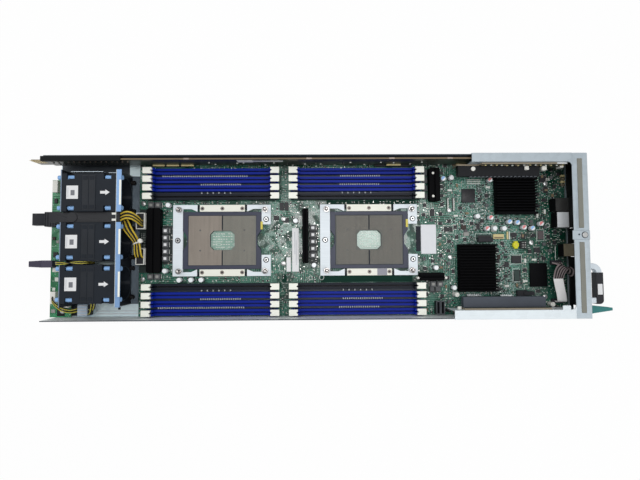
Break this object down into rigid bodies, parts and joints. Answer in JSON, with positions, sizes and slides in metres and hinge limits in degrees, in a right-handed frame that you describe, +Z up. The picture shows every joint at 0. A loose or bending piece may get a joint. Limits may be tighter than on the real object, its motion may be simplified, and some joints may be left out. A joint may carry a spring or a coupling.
{
  "type": "server compute sled",
  "caption": "Half-width compute sled of a multi-node rack server, lid off: open tray with main board, processor sockets, memory slots, fans, risers, latch and pull handle.",
  "frame": {"origin": "centre of the tray's underside", "axes": "+X to the rear panel with the handle, +Y to the bridge board's side, +Z up"},
  "size_m": [0.638, 0.1765, 0.0418],
  "materials": {
    "zinc_sheet": "zinc-plated sheet, satin",
    "gasket_fabric": "woven conductive fabric over foam",
    "green_board": "green solder mask",
    "brown_board": "dark solder mask with golden-brown cut edges",
    "steel_screw": "nickel-plated steel",
    "bolster_nickel": "nickel-plated stamped steel",
    "stud_nickel": "bright nickel",
    "black_nylon": "moulded, fine texture",
    "fan_black": "glass-filled moulding",
    "blue_rubber": "soft moulded rubber",
    "slot_blue": "moulded, satin",
    "slot_black": "moulded, satin",
    "latch_cream": "moulded, satin",
    "socket_black": "moulded",
    "contact_field": "rows of fine contacts in a dark carrier",
    "heatsink_black": "black anodised",
    "ferrite_grey": "pressed powder core",
    "can_aluminium": "drawn can, satin",
    "chip_black": "moulded package",
    "nylon_white": "natural nylon",
    "wire_yellow": "insulation, satin",
    "wire_black": "insulation, satin",
    "sleeve_black": "woven sleeving",
    "ribbon_grey": "flat ribbon insulation",
    "port_shell": "tin-plated shell",
    "latch_teal": "moulded, fine texture"
  },
  "bodies": {
    "sled": {"tray": "zinc_sheet", "rear_panel": "zinc_sheet", "fan_brackets": "zinc_sheet", "riser_bracket_1": "zinc_sheet", "riser_bracket_2": "zinc_sheet", "pull_handle": "zinc_sheet", "emi_gaskets": "gasket_fabric", "main_board": "green_board", "power_docking_board": "green_board", "bridge_board": "brown_board", "riser_card_1": "brown_board", "riser_card_2": "brown_board", "board_fasteners": "steel_screw", "bolster_screws": "steel_screw", "bolster_plate_1": "bolster_nickel", "bolster_plate_2": "bolster_nickel", "heatsink_studs": "stud_nickel", "docking_plug_power": "black_nylon", "docking_plug_guide": "black_nylon", "bridge_board_guide": "black_nylon", "board_connectors": "black_nylon", "handle_grip": "black_nylon", "fan_isolators": "blue_rubber", "dimm_slots_blue": "slot_blue", "dimm_slots_black": "slot_black", "cpu_socket_1": "socket_black", "cpu_socket_2": "socket_black", "socket_contacts": "contact_field", "network_heatsink": "heatsink_black", "chipset_heatsink": "heatsink_black", "vr_heatsinks": "heatsink_black", "vr_inductors": "ferrite_grey", "capacitors": "can_aluminium", "chips": "chip_black", "wire_connectors": "nylon_white", "power_wires_yellow": "wire_yellow", "power_wires_black": "wire_black", "fan_leads": "wire_black", "cable_sleeve": "sleeve_black", "ribbon_cable": "ribbon_grey", "io_ports": "port_shell", "fan_frame_1": "fan_black", "fan_frame_2": "fan_black", "fan_frame_3": "fan_black"},
    "fan_1_front_rotor_body": {"fan_1_front_rotor": "fan_black"},
    "fan_1_rear_rotor_body": {"fan_1_rear_rotor": "fan_black"},
    "fan_2_front_rotor_body": {"fan_2_front_rotor": "fan_black"},
    "fan_2_rear_rotor_body": {"fan_2_rear_rotor": "fan_black"},
    "fan_3_front_rotor_body": {"fan_3_front_rotor": "fan_black"},
    "fan_3_rear_rotor_body": {"fan_3_rear_rotor": "fan_black"},
    "dimm_latches_upper_1_front_body": {"dimm_latches_upper_1_front": "latch_cream"},
    "dimm_latches_upper_1_rear_body": {"dimm_latches_upper_1_rear": "latch_cream"},
    "dimm_latches_lower_1_front_body": {"dimm_latches_lower_1_front": "latch_cream"},
    "dimm_latches_lower_1_rear_body": {"dimm_latches_lower_1_rear": "latch_cream"},
    "dimm_latches_upper_2_front_body": {"dimm_latches_upper_2_front": "latch_cream"},
    "dimm_latches_upper_2_rear_body": {"dimm_latches_upper_2_rear": "latch_cream"},
    "dimm_latches_lower_2_front_body": {"dimm_latches_lower_2_front": "latch_cream"},
    "dimm_latches_lower_2_rear_body": {"dimm_latches_lower_2_rear": "latch_cream"},
    "latch_lever_body": {"latch_lever": "latch_teal"}
  },
  "joints": [
    {"name": "fan_1_front_spin", "type": "hinge", "parent": "sled", "child": "fan_1_front_rotor_body", "pos_m": [-0.2366, 0.047, 0.021], "axis": [1, 0, 0], "continuous": true},
    {"name": "fan_1_rear_spin", "type": "hinge", "parent": "sled", "child": "fan_1_rear_rotor_body", "pos_m": [-0.2366, 0.047, 0.021], "axis": [1, 0, 0], "continuous": true},
    {"name": "fan_2_front_spin", "type": "hinge", "parent": "sled", "child": "fan_2_front_rotor_body", "pos_m": [-0.2366, -0.0045, 0.021], "axis": [1, 0, 0], "continuous": true},
    {"name": "fan_2_rear_spin", "type": "hinge", "parent": "sled", "child": "fan_2_rear_rotor_body", "pos_m": [-0.2366, -0.0045, 0.021], "axis": [1, 0, 0], "continuous": true},
    {"name": "fan_3_front_spin", "type": "hinge", "parent": "sled", "child": "fan_3_front_rotor_body", "pos_m": [-0.2366, -0.0486, 0.021], "axis": [1, 0, 0], "continuous": true},
    {"name": "fan_3_rear_spin", "type": "hinge", "parent": "sled", "child": "fan_3_rear_rotor_body", "pos_m": [-0.2366, -0.0486, 0.021], "axis": [1, 0, 0], "continuous": true},
    {"name": "dimm_upper_1_front_swing", "type": "hinge", "parent": "sled", "child": "dimm_latches_upper_1_front_body", "pos_m": [-0.1843, 0.06, 0.0095], "axis": [0, -1, 0], "range_deg": [0, 20]},
    {"name": "dimm_upper_1_rear_swing", "type": "hinge", "parent": "sled", "child": "dimm_latches_upper_1_rear_body", "pos_m": [-0.0445, 0.06, 0.0095], "axis": [0, 1, 0], "range_deg": [0, 20]},
    {"name": "dimm_lower_1_front_swing", "type": "hinge", "parent": "sled", "child": "dimm_latches_lower_1_front_body", "pos_m": [-0.1843, -0.0673, 0.0095], "axis": [0, -1, 0], "range_deg": [0, 20]},
    {"name": "dimm_lower_1_rear_swing", "type": "hinge", "parent": "sled", "child": "dimm_latches_lower_1_rear_body", "pos_m": [-0.0445, -0.0673, 0.0095], "axis": [0, 1, 0], "range_deg": [0, 20]},
    {"name": "dimm_upper_2_front_swing", "type": "hinge", "parent": "sled", "child": "dimm_latches_upper_2_front_body", "pos_m": [-0.0252, 0.06, 0.0095], "axis": [0, -1, 0], "range_deg": [0, 20]},
    {"name": "dimm_upper_2_rear_swing", "type": "hinge", "parent": "sled", "child": "dimm_latches_upper_2_rear_body", "pos_m": [0.1146, 0.06, 0.0095], "axis": [0, 1, 0], "range_deg": [0, 20]},
    {"name": "dimm_lower_2_front_swing", "type": "hinge", "parent": "sled", "child": "dimm_latches_lower_2_front_body", "pos_m": [-0.0252, -0.0673, 0.0095], "axis": [0, -1, 0], "range_deg": [0, 20]},
    {"name": "dimm_lower_2_rear_swing", "type": "hinge", "parent": "sled", "child": "dimm_latches_lower_2_rear_body", "pos_m": [0.1146, -0.0673, 0.0095], "axis": [0, 1, 0], "range_deg": [0, 20]},
    {"name": "latch_lever_swing", "type": "hinge", "parent": "sled", "child": "latch_lever_body", "pos_m": [0.236, -0.0832, 0.0125], "axis": [0, 0, 1], "range_deg": [0, 5], "stiffness_Nm_per_rad": 4}
  ]
}
